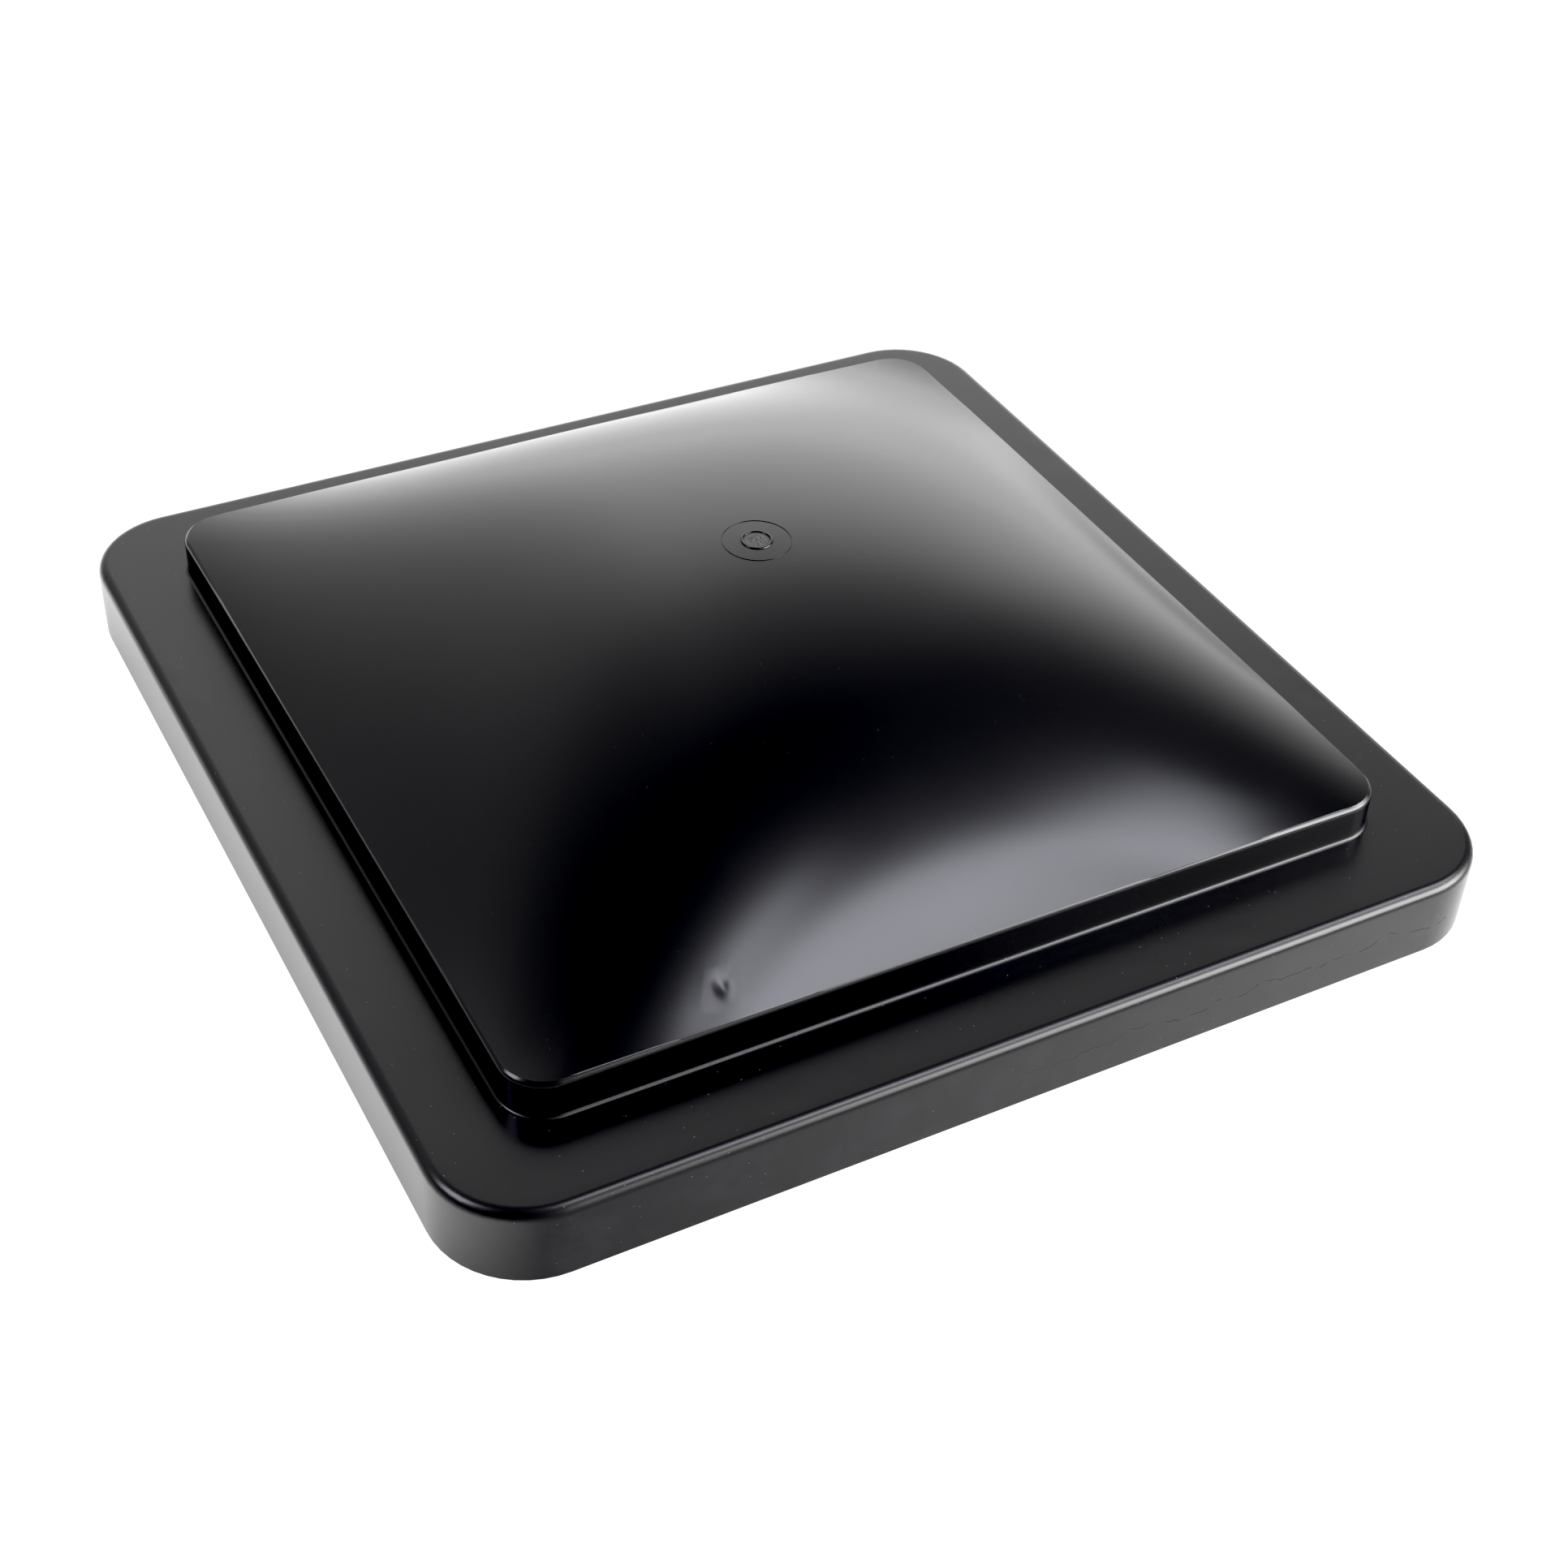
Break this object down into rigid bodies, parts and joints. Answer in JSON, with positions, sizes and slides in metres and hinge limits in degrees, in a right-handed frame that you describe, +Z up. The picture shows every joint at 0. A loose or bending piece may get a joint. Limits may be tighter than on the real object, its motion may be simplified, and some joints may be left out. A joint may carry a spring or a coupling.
{
  "type": "roof vent lid",
  "caption": "Crowned square plastic lid for a caravan roof vent, with rear continuous hinge, foam seal and an under-lid rail with a roller trolley for the lift arm.",
  "frame": {"origin": "centre of the skirt's bottom edge, in the plane of that edge", "axes": "+Z up through the crown, +Y to the rear where the hinge is, +X to the right along the hinge"},
  "size_m": [0.4, 0.4088, 0.097],
  "materials": {
    "black_polypropylene": "satin gloss",
    "seal_foam": "matt closed-cell foam",
    "stainless_sheet": "satin",
    "galvanised_sheet": "zinc spangle",
    "zinc_plated_steel": "bright zinc",
    "white_acetal": "moulded",
    "grey_nylon": "moulded",
    "sintered_bronze": "dull"
  },
  "bodies": {
    "lid": {"lid_shell": "black_polypropylene", "weather_seal": "seal_foam", "hinge_lid_leaf": "stainless_sheet", "hinge_pin": "stainless_sheet", "hinge_pin_caps": "zinc_plated_steel", "hinge_screws": "zinc_plated_steel", "hinge_washers": "zinc_plated_steel", "lift_rail": "galvanised_sheet", "rail_screws": "zinc_plated_steel", "rail_washers": "zinc_plated_steel", "rail_stop_front": "grey_nylon", "rail_stop_rear": "grey_nylon"},
    "base_leaf": {"hinge_base_leaf": "stainless_sheet"},
    "trolley": {"trolley_hanger": "grey_nylon", "trolley_axle": "zinc_plated_steel", "roller_spacers": "zinc_plated_steel", "axle_clips": "zinc_plated_steel", "hanger_bush": "sintered_bronze"},
    "left_roller": {"roller_left": "white_acetal"},
    "right_roller": {"roller_right": "white_acetal"}
  },
  "joints": [
    {"name": "lid_hinge", "type": "hinge", "parent": "lid", "child": "base_leaf", "pos_m": [0, 0.195, 0.014], "axis": [1, 0, 0], "range_deg": [0, 75]},
    {"name": "trolley_travel", "type": "slide", "parent": "lid", "child": "trolley", "axis": [0, 1, 0], "range_m": [-0.08, 0.08]},
    {"name": "left_roller_turn", "type": "hinge", "parent": "trolley", "child": "left_roller", "pos_m": [-0.0062, 0, 0.0633], "axis": [1, 0, 0], "range_deg": [-900, 900]},
    {"name": "right_roller_turn", "type": "hinge", "parent": "trolley", "child": "right_roller", "pos_m": [0.0062, 0, 0.0633], "axis": [1, 0, 0], "range_deg": [-900, 900]}
  ],
  "couplings": [
    {"joint": "left_roller_turn", "follows": "trolley_travel", "rad_per_m": 192.31},
    {"joint": "right_roller_turn", "follows": "trolley_travel", "rad_per_m": 192.31}
  ]
}
